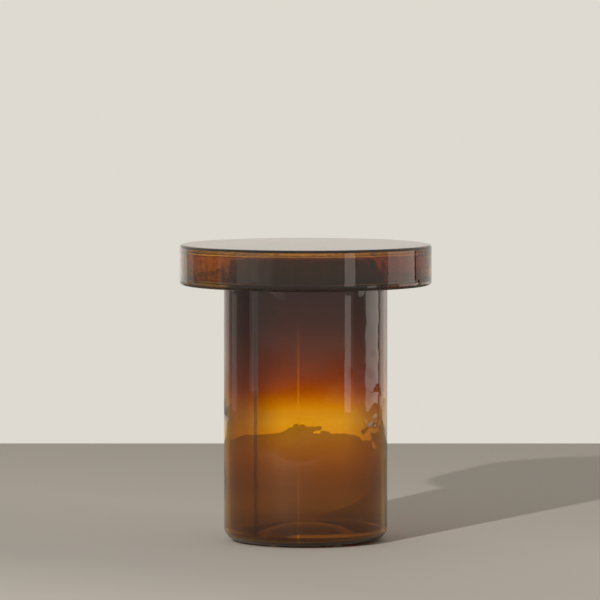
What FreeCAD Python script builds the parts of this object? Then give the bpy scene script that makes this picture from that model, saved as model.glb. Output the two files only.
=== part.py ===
"""Amber glass side table: a blown cylinder with a rounded shoulder, under a hollow blown top.

The top has a hole in its underside and drops over the shoulder. A loose silicone ring lies between the
top's plate and the cylinder's rim, and soft pads stand under the cylinder's foot.
Millimetres, +Z up. The origin is on the floor, on the axis that the glass and the ring are turned about.
"""
import FreeCAD
import Part
import math
import os

# Overall sizes
OVERALL_HEIGHT = 472.0
TOP_DIAMETER = 400.0
TOP_HEIGHT = 64.0
BASE_DIAMETER = 260.0

# Glass of the top
TOP_PLATE = 9.0
TOP_WALL = 8.0
TOP_FLANGE = 8.0
TOP_EDGE_RADIUS = 5.0
TOP_INNER_RADIUS = 6.0
NECK_CLEARANCE = 4.0

# Glass of the base
BASE_WALL = 7.0
BASE_FLOOR = 7.0
FOOT_RADIUS = 21.0
FLOOR_CORNER_RADIUS = 14.0
FOOT_RING_WIDTH = 25.0
PUNT_RISE = 19.0
SHOULDER_RADIUS = 48.0
RIM_WIDTH = 16.0

# Silicone ring between the rim and the top
SEAT_THICKNESS = 3.0
SKIRT_THICKNESS = 2.0
SKIRT_LENGTH = 10.0
SKIRT_CLEARANCE = 0.4
SEAT_EDGE_RADIUS = 0.6

# Pads under the foot
PAD_COUNT = 6
PAD_DIAMETER = 14.0
PAD_HEIGHT = 2.0
PAD_EDGE_RADIUS = 0.5

# Levels that several pieces share
PLATE_UNDERSIDE = OVERALL_HEIGHT - TOP_PLATE
RIM_LEVEL = PLATE_UNDERSIDE - SEAT_THICKNESS

# Radii that several pieces share
BASE_OUTER = BASE_DIAMETER / 2
SHOULDER_EDGE = BASE_OUTER - SHOULDER_RADIUS
MOUTH = SHOULDER_EDGE - RIM_WIDTH
FOOT_OUTER = BASE_OUTER - FOOT_RADIUS
FOOT_INNER = FOOT_OUTER - FOOT_RING_WIDTH

AXIS = FreeCAD.Vector(0, 0, 1)
ORIGIN = FreeCAD.Vector(0, 0, 0)


def at(radius, height):
    """Point of a turned outline, in the plane Y = 0."""
    return FreeCAD.Vector(radius, 0, height)


def corner(centre, radius, start_deg, end_deg):
    """Arc about centre from one angle to another, measured from +X towards +Z."""
    def on_arc(angle_deg):
        angle = math.radians(angle_deg)
        return centre + at(radius * math.cos(angle), radius * math.sin(angle))

    return Part.Arc(on_arc(start_deg), on_arc((start_deg + end_deg) / 2), on_arc(end_deg))


def dome(edge_radius, edge_level, rise, inwards=False):
    """Shallow arc between the axis, where it stands rise above its edge, and that edge."""
    sphere_radius = (edge_radius ** 2 + rise ** 2) / (2 * rise)
    half_way = edge_radius / 2
    level = edge_level + rise - sphere_radius + math.sqrt(sphere_radius ** 2 - half_way ** 2)
    points = [at(0, edge_level + rise), at(half_way, level), at(edge_radius, edge_level)]
    if inwards:
        points.reverse()
    return Part.Arc(*points)


def turned(stops):
    """Solid turned about the axis from an outline of points and arcs, with straight lines between them."""
    first_points = [stop if isinstance(stop, FreeCAD.Vector) else stop.StartPoint for stop in stops]
    last_points = [stop if isinstance(stop, FreeCAD.Vector) else stop.EndPoint for stop in stops]
    edges = []
    for index, stop in enumerate(stops):
        if not isinstance(stop, FreeCAD.Vector):
            edges.append(stop.toShape())
        here = last_points[index]
        there = first_points[(index + 1) % len(stops)]
        if not here.isEqual(there, 1e-6):
            edges.append(Part.LineSegment(here, there).toShape())
    return Part.Face(Part.Wire(edges)).revolve(ORIGIN, AXIS, 360)


def base_cylinder():
    """Blown cylinder: rounded foot with a push-up inside it, straight wall, shoulder and in-turned rim."""
    foot = PAD_HEIGHT
    floor = foot + BASE_FLOOR
    floor_edge = BASE_OUTER - BASE_WALL - FLOOR_CORNER_RADIUS
    shoulder = at(SHOULDER_EDGE, RIM_LEVEL - SHOULDER_RADIUS)
    lip_radius = BASE_WALL / 2
    return turned([
        dome(FOOT_INNER, foot, PUNT_RISE),
        corner(at(FOOT_OUTER, foot + FOOT_RADIUS), FOOT_RADIUS, -90, 0),
        corner(shoulder, SHOULDER_RADIUS, 0, 90),
        corner(at(MOUTH + lip_radius, RIM_LEVEL - lip_radius), lip_radius, 90, 270),
        corner(shoulder, SHOULDER_RADIUS - BASE_WALL, 90, 0),
        corner(at(floor_edge, floor + FLOOR_CORNER_RADIUS), FLOOR_CORNER_RADIUS, 0, -90),
        dome(FOOT_INNER, floor, PUNT_RISE, inwards=True),
    ])


def top_cap():
    """Blown hollow disc, whose plate is the table's surface. The base enters through its flange."""
    outer = TOP_DIAMETER / 2
    edge = outer - TOP_EDGE_RADIUS
    inner_edge = outer - TOP_WALL - TOP_INNER_RADIUS
    underside = OVERALL_HEIGHT - TOP_HEIGHT
    flange_top = underside + TOP_FLANGE
    lip_radius = TOP_FLANGE / 2
    lip_centre = BASE_OUTER + NECK_CLEARANCE + lip_radius
    return turned([
        at(0, OVERALL_HEIGHT),
        corner(at(edge, OVERALL_HEIGHT - TOP_EDGE_RADIUS), TOP_EDGE_RADIUS, 90, 0),
        corner(at(edge, underside + TOP_EDGE_RADIUS), TOP_EDGE_RADIUS, 0, -90),
        corner(at(lip_centre, underside + lip_radius), lip_radius, 270, 90),
        corner(at(inner_edge, flange_top + TOP_INNER_RADIUS), TOP_INNER_RADIUS, -90, 0),
        corner(at(inner_edge, PLATE_UNDERSIDE - TOP_INNER_RADIUS), TOP_INNER_RADIUS, 0, 90),
        at(0, PLATE_UNDERSIDE),
    ])


def seat_ring():
    """Silicone ring of angle section: its flange lies on the rim, and its skirt hangs in the mouth."""
    skirt_outer = MOUTH - SKIRT_CLEARANCE
    skirt_inner = skirt_outer - SKIRT_THICKNESS
    skirt_end = RIM_LEVEL - SKIRT_LENGTH
    rounding = SEAT_EDGE_RADIUS
    return turned([
        corner(at(skirt_inner + rounding, skirt_end + rounding), rounding, 180, 270),
        corner(at(skirt_outer - rounding, skirt_end + rounding), rounding, -90, 0),
        at(skirt_outer, RIM_LEVEL),
        corner(at(SHOULDER_EDGE - rounding, RIM_LEVEL + rounding), rounding, -90, 0),
        corner(at(SHOULDER_EDGE - rounding, PLATE_UNDERSIDE - rounding), rounding, 0, 90),
        corner(at(skirt_inner + rounding, PLATE_UNDERSIDE - rounding), rounding, 90, 180),
    ])


def foot_pads():
    """Round soft pads, evenly spaced on the flat ring of the foot, with their lower edges rounded."""
    pad_radius = PAD_DIAMETER / 2
    pad = turned([
        at(0, 0),
        corner(at(pad_radius - PAD_EDGE_RADIUS, PAD_EDGE_RADIUS), PAD_EDGE_RADIUS, -90, 0),
        at(pad_radius, PAD_HEIGHT),
        at(0, PAD_HEIGHT),
    ])
    pad.translate(at((FOOT_INNER + FOOT_OUTER) / 2, 0))
    pads = []
    for index in range(PAD_COUNT):
        copy = pad.copy()
        copy.rotate(ORIGIN, AXIS, 360 * index / PAD_COUNT)
        pads.append(copy)
    return Part.makeCompound(pads)


def main():
    os.makedirs("parts", exist_ok=True)
    for piece in (base_cylinder, top_cap, seat_ring, foot_pads):
        piece().exportStep(f"parts/{piece.__name__}.step")


main()
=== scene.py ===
"""Looks of an amber glass side table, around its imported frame.

Metres, +Z up. The table stands on the floor at Z = 0, and the camera looks at it from -Y.
"""
import math

import bpy
import numpy as np
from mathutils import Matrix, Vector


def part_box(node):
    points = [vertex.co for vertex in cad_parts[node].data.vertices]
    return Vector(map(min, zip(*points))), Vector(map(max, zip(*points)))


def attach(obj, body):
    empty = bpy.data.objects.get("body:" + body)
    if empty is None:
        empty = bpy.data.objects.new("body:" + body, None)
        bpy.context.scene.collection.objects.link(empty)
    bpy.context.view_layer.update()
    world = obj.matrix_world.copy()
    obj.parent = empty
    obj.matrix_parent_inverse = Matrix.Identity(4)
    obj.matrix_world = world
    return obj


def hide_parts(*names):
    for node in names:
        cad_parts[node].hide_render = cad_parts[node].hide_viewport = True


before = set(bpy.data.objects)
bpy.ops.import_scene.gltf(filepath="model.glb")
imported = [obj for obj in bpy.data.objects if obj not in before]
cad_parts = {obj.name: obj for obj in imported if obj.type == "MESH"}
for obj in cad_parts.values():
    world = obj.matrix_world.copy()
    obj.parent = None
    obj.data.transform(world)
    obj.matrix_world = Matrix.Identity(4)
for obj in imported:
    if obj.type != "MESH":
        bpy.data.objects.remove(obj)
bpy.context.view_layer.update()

# Sizes that the frame gives
BASE_LOW, BASE_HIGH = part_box("base_cylinder")
TOP_LOW, TOP_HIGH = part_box("top_cap")
BASE_OUTER = (BASE_HIGH.y - BASE_LOW.y) / 2
TOP_OUTER = (TOP_HIGH.y - TOP_LOW.y) / 2
FOOT_LEVEL = BASE_LOW.z
RIM_LEVEL = BASE_HIGH.z
UNDERSIDE = TOP_LOW.z
SURFACE = TOP_HIGH.z
PLATE_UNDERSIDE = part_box("seat_ring")[1].z

# Glass of the top
TOP_WALL = 0.008
TOP_FLANGE = 0.008
TOP_EDGE_RADIUS = 0.005
TOP_INNER_RADIUS = 0.006
NECK_CLEARANCE = 0.004

# Glass of the base
BASE_WALL = 0.007
BASE_FLOOR = 0.007
FOOT_RADIUS = 0.021
FLOOR_CORNER_RADIUS = 0.014
FOOT_RING_WIDTH = 0.025
PUNT_RISE = 0.019
SHOULDER_RADIUS = 0.048
RIM_WIDTH = 0.016

# Mould seams of the base, as angles from +X towards +Y
FRONT_SEAM = math.radians(-95.2)
BACK_SEAM = math.radians(84.0)
SEAM_HEIGHT = 0.00035
SEAM_HALF_WIDTH = 0.0008

# Marks of the making on the base: small dents, squiggles on the inside and a dark cord in the glass
HAMMERED_ANGLE = math.radians(-36.0)
HAMMERED_LOW = 0.140
HAMMERED_HIGH = 0.206
SQUIGGLE_ANGLE = math.radians(-80.0)
CORD_ANGLE = math.radians(-128.0)
CORD_HALF_WIDTH = 0.0032
CORD_SWAY = 0.003

# Thickening of the base's wall: metres for each metre down, and how far it reaches round from the seam
EVEN_THICKENING = 0.008
SEAM_THICKENING = 0.015
THICKENED_FROM = 0.20
LEFT_REACH = 0.15
RIGHT_REACH = 0.72

# Fineness of the two glass meshes, along their outlines and round the axis
BASE_STEP = 0.006
TOP_STEP = 0.004
HAMMERED_POINTS = 34
TOP_WALL_POINTS = 16
TOP_WALL_MARGIN = 0.008
BASE_TURN_STEPS = 208
TOP_TURN_STEPS = 480
DENTED_TURN_STEPS = 120
DENTED_FROM_DEG = -112
DENTED_TO_DEG = -28
SEAM_TURN_STEPS = 12
SEAM_REACH = 0.018
RIPPLE_WAVES = 40

# Colours of the base's glass, by share of its height from the foot to the rim
BASE_TINTS = [
    (0.00, (0.26, 0.14, 0.040)),
    (0.05, (0.40, 0.21, 0.050)),
    (0.09, (0.55, 0.31, 0.060)),
    (0.13, (0.63, 0.36, 0.060)),
    (0.20, (0.61, 0.32, 0.045)),
    (0.26, (0.81, 0.43, 0.016)),
    (0.31, (0.95, 0.53, 0.009)),
    (0.37, (1.00, 0.65, 0.020)),
    (0.43, (1.00, 0.71, 0.180)),
    (0.485, (0.87, 0.47, 0.003)),
    (0.535, (0.60, 0.23, 0.004)),
    (0.59, (0.46, 0.17, 0.008)),
    (0.65, (0.36, 0.14, 0.015)),
    (0.75, (0.215, 0.07, 0.020)),
    (0.90, (0.13, 0.04, 0.015)),
]
# Painted shade on the base's two sides, so that its middle keeps a glow
SIDES_PAINTED_SHADE = (0.60, 0.50, 0.60)
# Painted shade on the push-up, for the shaded floor under the base
PUSH_UP_PAINTED_SHADE = (0.16, 0.20, 0.30)
CORD_TINT = (0.25, 0.22, 0.25)
# Painted highlight along the front seam
SEAM_PAINTED_HIGHLIGHT = (1.0, 0.58, 0.10)
DEPTH_COLOUR = (0.78, 0.48, 0.05, 1)
DEPTH_DENSITY = 14.0

# Colours of the top's glass, by share of its height from the underside to the surface
TOP_TINTS = [
    (0.00, (0.13, 0.055, 0.018)),
    (0.20, (0.30, 0.125, 0.020)),
    (0.40, (0.47, 0.195, 0.020)),
    (0.84, (0.50, 0.205, 0.016)),
    (1.00, (0.46, 0.165, 0.014)),
]
STREAK_TINT = (0.74, 0.70, 0.72)
DARK_SIDE_TINT = (0.78, 0.52, 0.5)
PALE_SIDE_COLOUR = (0.90, 0.46, 0.05)

# Share of its colour that the glass keeps in its shadow
SHADOW_TINT = (0.35, 0.30, 0.30)

# Colours of the silicone, clean and with bloom
RING_COLOURS = ((0.40, 0.36, 0.31), (0.47, 0.43, 0.38))
PAD_COLOURS = ((0.66, 0.64, 0.60), (0.72, 0.70, 0.66))

# Camera
CAMERA_DISTANCE = 8.07
CAMERA_HEIGHT = 0.893
CAMERA_SIDE = -0.009
CAMERA_AIM_HEIGHT = 0.3831
CAMERA_LENS = 305.7
SENSOR_WIDTH = 36.0

# Floor, wall and lamp
FLOOR_BACK = 1.69
FLOOR_FRONT = -1.6
FLOOR_SIDE = 3.0
# Painted shade on the floor: darker near the lamp, to even out its pool of light
NEAR_FLOOR_SHADED_COLOUR = (0.240, 0.219, 0.198)
FAR_FLOOR_COLOUR = (0.318, 0.290, 0.262)
WALL_COLOUR = (0.730, 0.701, 0.638)
LAMP_DISTANCE = 3.2
LAMP_AZIMUTH = -27.0
LAMP_HEIGHT = 1.64
LAMP_POWER = 620.0
LAMP_RADIUS = 0.03
LAMP_COLOUR = (1.0, 1.0, 0.97)

# Panels and screens, each between two levels: low ones show in the base, high ones in the top
PANEL_DISTANCE = 2.0
PANEL_COLOUR = (1.0, 0.90, 0.80)
LOW_PANEL = (0.06, 0.283)
SHORT_PANEL = (0.08, 0.283)
HIGH_PANEL = (0.285, 0.585)
SCREEN_DISTANCE = 2.4
FRONT_SCREEN_DISTANCE = 1.75
SCREEN_FACES = 8


def arc(centre_r, centre_z, radius, start_deg, end_deg, count):
    """Points of an arc in the (radius, height) plane: centre + radius (cos, sin) of even angles."""
    angle = np.radians(np.linspace(start_deg, end_deg, count))
    return np.column_stack([centre_r + radius * np.cos(angle), centre_z + radius * np.sin(angle)])


def dome(edge_radius, edge_level, rise, count):
    """Points from the axis to the edge: height falls from rise to nothing as 1 - (r / edge) squared."""
    radius = np.linspace(0, edge_radius, count)
    return np.column_stack([radius, edge_level + rise * (1 - (radius / edge_radius) ** 2)])


def upright(radius, start, end, count):
    """Points of a straight upright run, closer together than the rest of the outline."""
    return np.column_stack([np.full(count, radius), np.linspace(start, end, count)])


def joined(stretches, step):
    """One outline of the stretches given, with straight runs of points a step apart between them."""
    outline = [stretches[0]]
    for before, after in zip(stretches, stretches[1:]):
        gaps = max(round(math.dist(before[-1], after[0]) / step), 1)
        share = np.linspace(0, 1, gaps + 1)[1:-1, None]
        outline.append(before[-1] * (1 - share) + after[0] * share)
        outline.append(after)
    outline = np.vstack(outline)
    apart = np.linalg.norm(np.diff(outline, axis=0), axis=1) > 1e-6
    return outline[np.concatenate([[True], apart])]


def base_outline():
    """The base's section: from the axis under its floor, up the outside, over the rim and back inside."""
    shoulder_r = BASE_OUTER - SHOULDER_RADIUS
    shoulder_z = RIM_LEVEL - SHOULDER_RADIUS
    lip = BASE_WALL / 2
    foot_outer = BASE_OUTER - FOOT_RADIUS
    foot_inner = foot_outer - FOOT_RING_WIDTH
    floor = FOOT_LEVEL + BASE_FLOOR
    floor_edge = BASE_OUTER - BASE_WALL - FLOOR_CORNER_RADIUS
    return joined([
        dome(foot_inner, FOOT_LEVEL, PUNT_RISE, 12),
        arc(foot_outer, FOOT_LEVEL + FOOT_RADIUS, FOOT_RADIUS, -90, 0, 14),
        upright(BASE_OUTER, HAMMERED_LOW, HAMMERED_HIGH, HAMMERED_POINTS),
        arc(shoulder_r, shoulder_z, SHOULDER_RADIUS, 0, 90, 16),
        arc(shoulder_r - RIM_WIDTH + lip, RIM_LEVEL - lip, lip, 90, 270, 8),
        arc(shoulder_r, shoulder_z, SHOULDER_RADIUS - BASE_WALL, 90, 0, 14),
        upright(BASE_OUTER - BASE_WALL, HAMMERED_HIGH, HAMMERED_LOW, HAMMERED_POINTS),
        arc(floor_edge, floor + FLOOR_CORNER_RADIUS, FLOOR_CORNER_RADIUS, 0, -90, 10),
        dome(foot_inner, floor, PUNT_RISE, 12)[::-1],
    ], BASE_STEP)


def top_outline():
    """The top's section: from the axis under its plate, round the inside, out by the hole and over."""
    edge = TOP_OUTER - TOP_EDGE_RADIUS
    inner_edge = TOP_OUTER - TOP_WALL - TOP_INNER_RADIUS
    flange_top = UNDERSIDE + TOP_FLANGE
    lip = TOP_FLANGE / 2
    lip_centre = BASE_OUTER + NECK_CLEARANCE + lip
    wall_top = PLATE_UNDERSIDE - TOP_WALL_MARGIN
    wall_bottom = flange_top + TOP_WALL_MARGIN
    return joined([
        np.array([[0, PLATE_UNDERSIDE]]),
        arc(inner_edge, PLATE_UNDERSIDE - TOP_INNER_RADIUS, TOP_INNER_RADIUS, 90, 0, 10),
        upright(TOP_OUTER - TOP_WALL, wall_top, wall_bottom, TOP_WALL_POINTS),
        arc(inner_edge, flange_top + TOP_INNER_RADIUS, TOP_INNER_RADIUS, 0, -90, 10),
        arc(lip_centre, UNDERSIDE + lip, lip, 90, 270, 10),
        arc(edge, UNDERSIDE + TOP_EDGE_RADIUS, TOP_EDGE_RADIUS, -90, 0, 12),
        arc(edge, SURFACE - TOP_EDGE_RADIUS, TOP_EDGE_RADIUS, 0, 90, 12),
        np.array([[0, SURFACE]]),
    ], TOP_STEP)


def outline_normals(outline):
    """Unit normals of an outline, to the right of its direction of travel: out of the glass."""
    along = np.gradient(outline, axis=0)
    along /= np.linalg.norm(along, axis=1)[:, None]
    return np.column_stack([along[:, 1], -along[:, 0]])


def smooth_step(low, high, value):
    """0 below low, 1 above high, and an S-curve between them."""
    share = np.clip((value - low) / (high - low), 0, 1)
    return share * share * (3 - 2 * share)


def upright_share(outline):
    """1 where an outline runs upright, falling to 0 where it leans."""
    return smooth_step(0.9, 1.0, np.abs(outline_normals(outline)[:, :1]))


def turn_between(angles, centre):
    """Signed angle from centre, between -pi and pi."""
    return np.mod(angles - centre + math.pi, 2 * math.pi) - math.pi


def patch(angles, height, centre_angle, centre_height, half_angle, half_height):
    """Bell-shaped window, 1 at its centre and exp(-1) at its half sizes."""
    across = turn_between(angles, centre_angle) / half_angle
    upward = (height - centre_height) / half_height
    return np.exp(-across ** 2 - upward ** 2)


def ripple(angles, height, seed, turns, shortest):
    """Smooth unevenness of spread one: a sum of waves cos(k angle + m height + phase).

    k is a whole number up to turns, and m gives wavelengths down to shortest. The seed draws them.
    """
    draw = np.random.default_rng(seed)
    total = np.zeros(np.broadcast(angles, height).shape)
    for _ in range(RIPPLE_WAVES):
        around = draw.integers(-turns, turns + 1)
        upward = draw.uniform(-1, 1) * 2 * math.pi / shortest
        total += np.cos(around * angles + upward * height + draw.uniform(0, 2 * math.pi))
    return total / math.sqrt(RIPPLE_WAVES / 2)


def turned_glass(name, outline, angles, uneven):
    """Closed surface of an outline turned about Z, both of whose ends lie on the axis.

    Point (i, j) is outline point i at angle j, moved along the outline's normal by uneven[i, j].
    """
    normals = outline_normals(outline)
    radius = outline[:, :1] + normals[:, :1] * uneven
    height = outline[:, 1:] + normals[:, 1:] * uneven
    rings = np.stack([radius * np.cos(angles), radius * np.sin(angles), height], axis=2)[1:-1]
    ends = np.array([[0, 0, outline[0, 1]], [0, 0, outline[-1, 1]]])
    count, steps = rings.shape[:2]
    index = np.arange(count * steps).reshape(count, steps)
    beside = np.roll(index, -1, axis=1)
    quads = np.stack([index[:-1], beside[:-1], beside[1:], index[1:]], axis=2).reshape(-1, 4)
    first_fan = np.column_stack([np.full(steps, count * steps), beside[0], index[0]])
    last_fan = np.column_stack([np.full(steps, count * steps + 1), index[-1], beside[-1]])
    mesh = bpy.data.meshes.new(name)
    points = np.vstack([rings.reshape(-1, 3), ends])
    mesh.from_pydata(points.tolist(), [], quads.tolist() + first_fan.tolist() + last_fan.tolist())
    mesh.polygons.foreach_set("use_smooth", np.ones(len(mesh.polygons), dtype=bool))
    mesh.update()
    piece = bpy.data.objects.new(name, mesh)
    bpy.context.collection.objects.link(piece)
    return piece


def seam_ridge(angles):
    """Height of the two mould seams over the wall: a bell curve across each seam."""
    front = turn_between(angles, FRONT_SEAM) * BASE_OUTER / SEAM_HALF_WIDTH
    back = turn_between(angles, BACK_SEAM) * BASE_OUTER / SEAM_HALF_WIDTH
    return SEAM_HEIGHT * (np.exp(-front ** 2) + np.exp(-back ** 2))


def base_angles():
    """Angles round the base: even ones, closer ones over the small dents, the closest at each seam."""
    even = np.arange(BASE_TURN_STEPS) * 2 * math.pi / BASE_TURN_STEPS
    dented = np.radians(np.linspace(DENTED_FROM_DEG, DENTED_TO_DEG, DENTED_TURN_STEPS))
    near = np.linspace(-SEAM_REACH, SEAM_REACH, SEAM_TURN_STEPS)
    angles = np.concatenate([even, dented, FRONT_SEAM + near, BACK_SEAM + near])
    return np.unique(np.mod(angles, 2 * math.pi))


def thickening(angles):
    """How fast the wall thickens downwards: an even part, and a bell curve about the front seam.

    The bell is narrower to the left of the seam than to its right.
    """
    across = turn_between(angles, FRONT_SEAM)
    reach = np.where(across < 0, LEFT_REACH, RIGHT_REACH)
    return EVEN_THICKENING + SEAM_THICKENING * np.exp(-(across / reach) ** 2)


def base_glass():
    """The base's glass: its outline turned, and moved in and out where the wall is upright.

    Outside there are slow dents, two mould seams, and small dents and waves at the front right.
    Inside there are slow dents, a wall that thickens downwards, and small squiggles at the front.
    """
    outline = base_outline()
    angles = base_angles()
    height = outline[:, 1:]
    outside = (np.arange(len(outline)) < np.argmax(outline[:, 1]))[:, None]
    hammered = patch(angles, height, HAMMERED_ANGLE, 0.195, half_angle=0.20, half_height=0.030)
    waved = patch(angles, height, HAMMERED_ANGLE, 0.30, half_angle=0.22, half_height=0.13)
    squiggled = patch(angles, height, SQUIGGLE_ANGLE, 0.181, half_angle=0.28, half_height=0.014)
    outer_dents = 0.00006 * ripple(angles, height, seed=11, turns=7, shortest=0.06)
    outer_dents += seam_ridge(angles)
    outer_dents += 0.00008 * hammered * ripple(angles, height, seed=5, turns=50, shortest=0.014)
    outer_dents += 0.00018 * waved * ripple(angles, height, seed=6, turns=26, shortest=0.028)
    inner_dents = 0.00012 * ripple(angles, height, seed=23, turns=6, shortest=0.08)
    inner_dents += thickening(angles) * (THICKENED_FROM - height) * smooth_step(0.34, 0.16, height)
    inner_dents += 0.00004 * squiggled * ripple(angles, height, seed=8, turns=60, shortest=0.009)
    uneven = np.where(outside, outer_dents, inner_dents) * upright_share(outline)
    return turned_glass("base_glass", outline, angles, uneven)


def top_glass():
    """The top's glass: its outline turned, nearly true outside, with slow dents and upright waves inside.

    Small waves lie high on the inner wall, and the middle of the plate is flat.
    """
    outline = top_outline()
    angles = np.arange(TOP_TURN_STEPS) * 2 * math.pi / TOP_TURN_STEPS
    radius, height = outline[:, :1], outline[:, 1:]
    inside = (np.arange(len(outline)) < np.argmin(outline[:, 1]))[:, None]
    high_on_wall = upright_share(outline) * smooth_step(0.430, 0.448, height)
    outer_dents = 0.00005 * ripple(angles, height + radius, seed=31, turns=8, shortest=0.05)
    inner_dents = 0.00016 * ripple(angles, height + radius, seed=47, turns=12, shortest=0.05)
    inner_dents += 0.00014 * ripple(angles, height, seed=61, turns=90, shortest=0.08)
    inner_dents += 0.00016 * high_on_wall * ripple(angles, height, seed=71, turns=70, shortest=0.014)
    uneven = np.where(inside, inner_dents, outer_dents) * smooth_step(0.10, 0.17, radius)
    return turned_glass("top_glass", outline, angles, uneven)


def new_group(name, inputs, outputs):
    """Empty shader node group with named number inputs and outputs."""
    group = bpy.data.node_groups.new(name, "ShaderNodeTree")
    for socket in inputs:
        group.interface.new_socket(socket, in_out="INPUT", socket_type="NodeSocketFloat")
    for socket in outputs:
        group.interface.new_socket(socket, in_out="OUTPUT", socket_type="NodeSocketFloat")
    return group, group.nodes.new("NodeGroupInput"), group.nodes.new("NodeGroupOutput")


def new_material(name):
    """Material with an empty node tree."""
    material = bpy.data.materials.new(name)
    material.use_nodes = True
    material.node_tree.nodes.clear()
    return material


def place(group, tree, **values):
    """Node that puts a shared group into a material, with its inputs set."""
    node = tree.nodes.new("ShaderNodeGroup")
    node.node_tree = group
    for socket, value in values.items():
        node.inputs[socket].default_value = value
    return node


def show(tree, shader):
    """Puts a shader on the material's surface, and returns the output node."""
    output = tree.nodes.new("ShaderNodeOutputMaterial")
    tree.links.new(shader, output.inputs["Surface"])
    return output


def plug(tree, value, socket):
    """Sets a socket to a number, or links another socket to it."""
    if isinstance(value, (int, float)):
        socket.default_value = value
    else:
        tree.links.new(value, socket)


def object_coordinates(tree):
    """Object coordinates, as one vector."""
    return tree.nodes.new("ShaderNodeTexCoord").outputs["Object"]


def separated(tree, vector):
    """The parts of a vector, as sockets named X, Y and Z."""
    node = tree.nodes.new("ShaderNodeSeparateXYZ")
    tree.links.new(vector, node.inputs["Vector"])
    return node.outputs


def stretched(tree, vector, scale):
    """Coordinates with each axis scaled by itself, for patterns that run along one axis."""
    node = tree.nodes.new("ShaderNodeMapping")
    node.inputs["Scale"].default_value = scale
    tree.links.new(vector, node.inputs["Vector"])
    return node.outputs["Vector"]


def noise(tree, vector, scale, detail):
    """Noise texture on the given coordinates. Scale is a number or a socket."""
    node = tree.nodes.new("ShaderNodeTexNoise")
    node.inputs["Detail"].default_value = detail
    tree.links.new(vector, node.inputs["Vector"])
    plug(tree, scale, node.inputs["Scale"])
    return node.outputs["Fac"]


def maths(tree, operation, first, second):
    """Math node on two sockets or numbers."""
    node = tree.nodes.new("ShaderNodeMath")
    node.operation = operation
    plug(tree, first, node.inputs[0])
    plug(tree, second, node.inputs[1])
    return node.outputs["Value"]


def off_from(tree, value, centre):
    """How far a value lies from a centre, on either side of it."""
    return maths(tree, "ABSOLUTE", maths(tree, "SUBTRACT", value, centre), 0.0)


def map_range(tree, value, low, high, kind="LINEAR"):
    """Value from 0 at low to 1 at high, clamped."""
    node = tree.nodes.new("ShaderNodeMapRange")
    node.interpolation_type = kind
    tree.links.new(value, node.inputs["Value"])
    plug(tree, low, node.inputs["From Min"])
    plug(tree, high, node.inputs["From Max"])
    return node.outputs["Result"]


def ramp(tree, share, stops):
    """Colour ramp over a value, from (position, colour) stops."""
    node = tree.nodes.new("ShaderNodeValToRGB")
    elements = node.color_ramp.elements
    elements.remove(elements[1])
    elements[0].position = stops[0][0]
    elements[0].color = (*stops[0][1], 1)
    for position, colour in stops[1:]:
        elements.new(position).color = (*colour, 1)
    tree.links.new(share, node.inputs["Fac"])
    return node.outputs["Color"]


def mixed(tree, blend, share, first, second):
    """A colour socket blended with a fixed colour, by a share."""
    node = tree.nodes.new("ShaderNodeMix")
    node.data_type = "RGBA"
    node.blend_type = blend
    plug(tree, share, node.inputs["Factor"])
    tree.links.new(first, node.inputs["A"])
    node.inputs["B"].default_value = (*second, 1)
    return node.outputs["Result"]


def upright_line(tree, angle, half_width, sway):
    """Mask of an upright line at an angle round the axis: 1 on the line, 0 from its half width on.

    The line sways from side to side by up to sway as it rises. Sizes are metres on the base's wall.
    """
    coordinates = object_coordinates(tree)
    part = separated(tree, coordinates)
    turn = maths(tree, "SUBTRACT", maths(tree, "ARCTAN2", part["Y"], part["X"]), angle)
    across = maths(tree, "MULTIPLY", turn, BASE_OUTER)
    swaying = noise(tree, stretched(tree, coordinates, (0, 0, 1)), 30.0, 2.0)
    swaying = maths(tree, "MULTIPLY", maths(tree, "SUBTRACT", swaying, 0.5), 2 * sway)
    off_line = maths(tree, "ABSOLUTE", maths(tree, "ADD", across, swaying), 0.0)
    return map_range(tree, off_line, half_width, 0.0, "SMOOTHSTEP")


def tint_level_group():
    """Height between two levels as a share, wandering with a slow noise: Z + wander (noise - 1/2)."""
    group, given, result = new_group("tint_level", ["Low", "High", "Wander"], ["Level"])
    coordinates = object_coordinates(group)
    wandering = maths(group, "SUBTRACT", noise(group, coordinates, 9.0, 2.0), 0.5)
    wandering = maths(group, "MULTIPLY", wandering, given.outputs["Wander"])
    height = maths(group, "ADD", separated(group, coordinates)["Z"], wandering)
    level = map_range(group, height, given.outputs["Low"], given.outputs["High"])
    group.links.new(level, result.inputs["Level"])
    return group


def dust_bloom_group():
    """Mottled bloom on soft rubber: a noise, as a mask for colour and bump, and a roughness from it."""
    group, given, result = new_group("dust_bloom", ["Scale", "Matt"], ["Mask", "Roughness"])
    mask = noise(group, object_coordinates(group), given.outputs["Scale"], 4.0)
    rough = maths(group, "ADD", maths(group, "MULTIPLY", mask, 0.25), given.outputs["Matt"])
    group.links.new(mask, result.inputs["Mask"])
    group.links.new(rough, result.inputs["Roughness"])
    return group


def finish_glass(material, colour):
    """Clear smooth glass of the given colour, which tints its shadow too. Returns the output node."""
    tree = material.node_tree
    links = tree.links
    shader = tree.nodes.new("ShaderNodeBsdfPrincipled")
    shader.inputs["Roughness"].default_value = 0.0
    shader.inputs["IOR"].default_value = 1.5
    shader.inputs["Transmission Weight"].default_value = 1.0
    links.new(colour, shader.inputs["Base Color"])
    passing = tree.nodes.new("ShaderNodeBsdfTransparent")
    links.new(mixed(tree, "MULTIPLY", 1.0, colour, SHADOW_TINT), passing.inputs["Color"])
    mix = tree.nodes.new("ShaderNodeMixShader")
    links.new(tree.nodes.new("ShaderNodeLightPath").outputs["Is Shadow Ray"], mix.inputs["Fac"])
    links.new(shader.outputs["BSDF"], mix.inputs[1])
    links.new(passing.outputs["BSDF"], mix.inputs[2])
    return show(tree, mix.outputs["Shader"])


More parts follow.
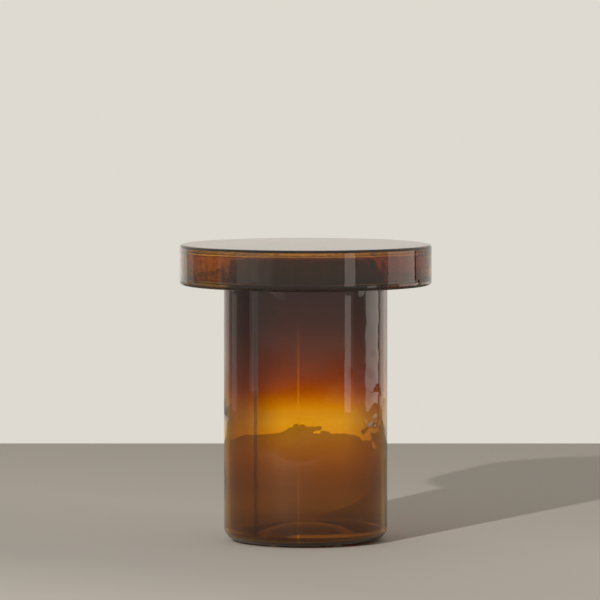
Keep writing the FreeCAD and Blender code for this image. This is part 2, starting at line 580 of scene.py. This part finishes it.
def base_amber(tint_level):
    """Amber that is palest in a band two fifths of the way up, and nearly black at the shoulder.

    Above the foot the glass is darker at the two sides than at the front and the back: painted shade,
    which keeps a glow in the middle. The push-up is darkened as painted shade of the shaded floor
    under it, a dark cord runs up the left of the front, and the front seam is paler, a painted highlight.
    """
    material = new_material("base_amber")
    tree = material.node_tree
    level = place(tint_level, tree, Low=FOOT_LEVEL, High=RIM_LEVEL, Wander=0.012).outputs["Level"]
    colour = ramp(tree, level, BASE_TINTS)
    coordinates = object_coordinates(tree)
    part = separated(tree, coordinates)

    # Painted shade: above the foot, the two sides of the base are darker than its front and back
    sides = map_range(tree, off_from(tree, part["X"], 0.010), 0.040, 0.118, "SMOOTHSTEP")
    sides = maths(tree, "MULTIPLY", sides, map_range(tree, part["Z"], 0.02, 0.20))
    colour = mixed(tree, "MULTIPLY", sides, colour, SIDES_PAINTED_SHADE)

    # Painted shade: the push-up is darkened for the shaded floor under the base, seen through it
    from_axis = tree.nodes.new("ShaderNodeVectorMath")
    from_axis.operation = "LENGTH"
    tree.links.new(stretched(tree, coordinates, (1, 1, 0)), from_axis.inputs[0])
    push_up_shade = map_range(tree, from_axis.outputs["Value"], 0.095, 0.080)
    above_foot = map_range(tree, part["Z"], 0.012, 0.022, "SMOOTHSTEP")
    push_up_shade = maths(tree, "MULTIPLY", push_up_shade, above_foot)
    colour = mixed(tree, "MULTIPLY", push_up_shade, colour, PUSH_UP_PAINTED_SHADE)

    cord = upright_line(tree, CORD_ANGLE, CORD_HALF_WIDTH, CORD_SWAY)
    colour = mixed(tree, "MULTIPLY", cord, colour, CORD_TINT)

    # Painted highlight: the glass is paler along the front seam, fading out between 0.26 and 0.37 m up
    seam = maths(tree, "MULTIPLY", upright_line(tree, FRONT_SEAM, 0.0028, 0.0), 0.6)
    seam = maths(tree, "MULTIPLY", seam, map_range(tree, part["Z"], 0.37, 0.26))
    colour = mixed(tree, "MIX", seam, colour, SEAM_PAINTED_HIGHLIGHT)

    output = finish_glass(material, colour)
    absorb = tree.nodes.new("ShaderNodeVolumeAbsorption")
    absorb.inputs["Color"].default_value = DEPTH_COLOUR
    absorb.inputs["Density"].default_value = DEPTH_DENSITY
    tree.links.new(absorb.outputs["Volume"], output.inputs["Volume"])
    return material


def top_amber(tint_level):
    """Amber, darker towards the underside, streaked upright, dark on one side and pale on the other."""
    material = new_material("top_amber")
    tree = material.node_tree
    level = place(tint_level, tree, Low=UNDERSIDE, High=SURFACE, Wander=0.02).outputs["Level"]
    colour = ramp(tree, level, TOP_TINTS)
    coordinates = object_coordinates(tree)
    part = separated(tree, coordinates)

    streaks = noise(tree, stretched(tree, coordinates, (1, 1, 0.04)), 130.0, 3.0)
    streaks = map_range(tree, streaks, 0.42, 0.68)
    colour = mixed(tree, "MULTIPLY", streaks, colour, STREAK_TINT)

    dark_side = map_range(tree, part["X"], 0.07, 0.15, "SMOOTHSTEP")
    colour = mixed(tree, "MULTIPLY", dark_side, colour, DARK_SIDE_TINT)

    pale_side = map_range(tree, off_from(tree, part["X"], -0.148), 0.030, 0.012, "SMOOTHSTEP")
    pale_side = maths(tree, "MULTIPLY", pale_side, 0.25)
    colour = mixed(tree, "MIX", pale_side, colour, PALE_SIDE_COLOUR)

    finish_glass(material, colour)
    return material


def silicone(name, dust_bloom, colours, matt):
    """Soft silicone: satin, with a little light passing in and a mottled bloom."""
    material = new_material(name)
    tree = material.node_tree
    links = tree.links
    clean, dusty = colours
    bloom = place(dust_bloom, tree, Scale=160.0, Matt=matt)
    colour = ramp(tree, bloom.outputs["Mask"], [(0.35, clean), (0.7, dusty)])
    shader = tree.nodes.new("ShaderNodeBsdfPrincipled")
    shader.inputs["IOR"].default_value = 1.41
    shader.inputs["Subsurface Weight"].default_value = 0.35
    shader.inputs["Subsurface Radius"].default_value = (0.004, 0.004, 0.0035)
    links.new(colour, shader.inputs["Base Color"])
    links.new(bloom.outputs["Roughness"], shader.inputs["Roughness"])
    bump = tree.nodes.new("ShaderNodeBump")
    bump.inputs["Strength"].default_value = 0.15
    bump.inputs["Distance"].default_value = 0.0005
    links.new(bloom.outputs["Mask"], bump.inputs["Height"])
    links.new(bump.outputs["Normal"], shader.inputs["Normal"])
    show(tree, shader.outputs["BSDF"])
    return material


def floor_material():
    """Matt grey, paler towards the wall and the right: painted shade against the lamp's pool of light."""
    material = new_material("floor_painted_shade")
    tree = material.node_tree
    part = separated(tree, object_coordinates(tree))
    # Painted shade: darker towards the front and the left, where the lamp is near
    backwards = map_range(tree, maths(tree, "ADD", part["Y"], part["X"]), -0.6, 0.3)
    colour = ramp(tree, backwards, [(0.0, NEAR_FLOOR_SHADED_COLOUR), (1.0, FAR_FLOOR_COLOUR)])
    shader = tree.nodes.new("ShaderNodeBsdfPrincipled")
    shader.inputs["Roughness"].default_value = 0.85
    shader.inputs["Specular IOR Level"].default_value = 0.15
    tree.links.new(colour, shader.inputs["Base Color"])
    show(tree, shader.outputs["BSDF"])
    return material


def floor():
    """The floor, whose straight far edge is where the wall begins."""
    mesh = bpy.data.meshes.new("floor")
    corners = [
        (-FLOOR_SIDE, FLOOR_FRONT, 0),
        (FLOOR_SIDE, FLOOR_FRONT, 0),
        (FLOOR_SIDE, FLOOR_BACK, 0),
        (-FLOOR_SIDE, FLOOR_BACK, 0),
    ]
    mesh.from_pydata(corners, [], [(0, 1, 2, 3)])
    mesh.materials.append(floor_material())
    piece = bpy.data.objects.new("floor", mesh)
    bpy.context.collection.objects.link(piece)


def wall():
    """Pale wall all round, which also lights the table evenly."""
    world = bpy.data.worlds.new("wall")
    world.use_nodes = True
    background = world.node_tree.nodes["Background"]
    background.inputs["Color"].default_value = (*WALL_COLOUR, 1)
    background.inputs["Strength"].default_value = 1.0
    bpy.context.scene.world = world


def standing_at(azimuth_deg, distance, height):
    """Place on a circle round the axis. Azimuth 0 is on the camera's side, and positive is to the right."""
    azimuth = math.radians(azimuth_deg)
    return distance * math.sin(azimuth), -distance * math.cos(azimuth), height


def lamp():
    """Small key light on the camera's side of the table, to the left."""
    light = bpy.data.lights.new("lamp", "POINT")
    light.energy = LAMP_POWER
    light.shadow_soft_size = LAMP_RADIUS
    light.color = LAMP_COLOUR
    piece = bpy.data.objects.new("lamp", light)
    piece.location = standing_at(LAMP_AZIMUTH, LAMP_DISTANCE, LAMP_HEIGHT)
    bpy.context.collection.objects.link(piece)


def only_reflected(piece):
    """Leaves a piece of the stage to be seen in reflections alone."""
    piece.visible_camera = False
    piece.visible_diffuse = False
    piece.visible_transmission = False
    piece.visible_shadow = False
    bpy.context.collection.objects.link(piece)


def panel(name, azimuth_deg, width, levels, radiance):
    """Upright soft light between two levels, facing the axis. Its radiance adds to the wall's."""
    bottom, top = levels
    height = top - bottom
    light = bpy.data.lights.new(name, "AREA")
    light.shape = "RECTANGLE"
    light.size = width
    light.size_y = height
    light.energy = radiance * math.pi * width * height
    light.color = PANEL_COLOUR
    piece = bpy.data.objects.new(name, light)
    piece.location = standing_at(azimuth_deg, PANEL_DISTANCE, bottom + height / 2)
    piece.rotation_euler = (math.radians(90), 0, math.radians(azimuth_deg))
    only_reflected(piece)


def screen_material(name, levels, shares):
    """The wall's own light, dimmed to a share that runs evenly from the lower level to the upper."""
    material = new_material(name)
    tree = material.node_tree
    upward = map_range(tree, separated(tree, object_coordinates(tree))["Z"], *levels)
    stops = [(end, [share * channel for channel in WALL_COLOUR]) for end, share in enumerate(shares)]
    shader = tree.nodes.new("ShaderNodeEmission")
    tree.links.new(ramp(tree, upward, stops), shader.inputs["Color"])
    show(tree, shader.outputs["Emission"])
    return material


def screen(name, azimuth_deg, half_angle_deg, levels, shares, distance=SCREEN_DISTANCE):
    """Upright dim screen between two levels: a strip of even faces on a circle round the axis."""
    row = SCREEN_FACES + 1
    azimuths = np.linspace(azimuth_deg - half_angle_deg, azimuth_deg + half_angle_deg, row)
    points = [standing_at(azimuth, distance, level) for level in levels for azimuth in azimuths]
    faces = [(i, i + 1, i + 1 + row, i + row) for i in range(SCREEN_FACES)]
    mesh = bpy.data.meshes.new(name)
    mesh.from_pydata(points, [], faces)
    mesh.materials.append(screen_material(name, levels, shares))
    piece = bpy.data.objects.new(name, mesh)
    only_reflected(piece)


def stripes():
    """Panels and screens whose reflections are the pale and dark upright stripes on the glass."""
    panel("right_low", 106, 1.06, LOW_PANEL, 1.35)
    panel("right_edge", 139, 0.85, LOW_PANEL, 0.45)
    panel("right_strip", 59.5, 0.33, LOW_PANEL, 1.45)
    panel("right_high", 95.4, 1.32, HIGH_PANEL, 1.15)
    panel("front_strip", 38.5, 0.34, HIGH_PANEL, 1.6)
    panel("left_strip", -74, 0.35, SHORT_PANEL, 0.30)
    panel("left_high", -52, 0.75, HIGH_PANEL, 0.25)
    panel("left_wide", -46, 1.20, HIGH_PANEL, 0.27)
    panel("left_side", -127, 0.55, HIGH_PANEL, 0.35)
    panel("left_edge", -150, 1.05, HIGH_PANEL, 0.42)
    panel("left_low", -117, 0.42, LOW_PANEL, 0.32)
    screen("screen_edge_foot", -150, 16, (0.0, 0.12), (0.45, 1.0))
    screen("screen_left_foot", -109, 25, (0.0, 0.08), (0.38, 0.50))
    screen("screen_left", -109, 25, (0.08, 0.60), (0.50, 0.50))
    screen("screen_front_low", -7, 61, (0.0, 0.065), (0.60, 0.05), FRONT_SCREEN_DISTANCE)
    screen("screen_front", -7, 61, (0.065, 0.10), (0.05, 0.05), FRONT_SCREEN_DISTANCE)
    screen("screen_front_high", -7, 61, (0.10, 0.205), (0.05, 1.0), FRONT_SCREEN_DISTANCE)
    screen("screen_right_foot", 94.5, 25.5, (0.0, 0.08), (0.38, 0.65))
    screen("screen_right", 79, 10, (0.08, 0.283), (0.65, 0.65))
    screen("screen_right_low", 122, 1.8, (0.0, 0.283), (0.10, 0.10))
    screen("screen_right_high", 115.2, 1.6, (0.285, 0.60), (0.10, 0.10))


def camera():
    """Long lens, a little above the table's surface, looking slightly down."""
    lens = bpy.data.cameras.new("camera")
    lens.lens = CAMERA_LENS
    lens.sensor_width = SENSOR_WIDTH
    piece = bpy.data.objects.new("camera", lens)
    drop = math.atan2(CAMERA_HEIGHT - CAMERA_AIM_HEIGHT, CAMERA_DISTANCE)
    piece.location = (CAMERA_SIDE, -CAMERA_DISTANCE, CAMERA_HEIGHT)
    piece.rotation_euler = (math.radians(90) - drop, 0, 0)
    bpy.context.collection.objects.link(piece)
    bpy.context.scene.camera = piece


def dress(piece, body, node, material):
    """Gives a new piece its material, and puts it in the place of a CAD node."""
    piece.data.materials.append(material)
    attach(piece, body)
    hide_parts(node)


def finish_node(node, material):
    """Gives a CAD node its material."""
    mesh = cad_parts[node].data
    mesh.materials.clear()
    mesh.materials.append(material)


def main():
    camera()
    floor()
    wall()
    lamp()
    stripes()

    tint_level = tint_level_group()
    dress(base_glass(), "base", "base_cylinder", base_amber(tint_level))
    dress(top_glass(), "top", "top_cap", top_amber(tint_level))
    dust_bloom = dust_bloom_group()
    finish_node("seat_ring", silicone("seat_silicone", dust_bloom, RING_COLOURS, 0.35))
    finish_node("foot_pads", silicone("pad_silicone", dust_bloom, PAD_COLOURS, 0.40))

    bpy.context.scene.view_settings.view_transform = "Standard"


main()
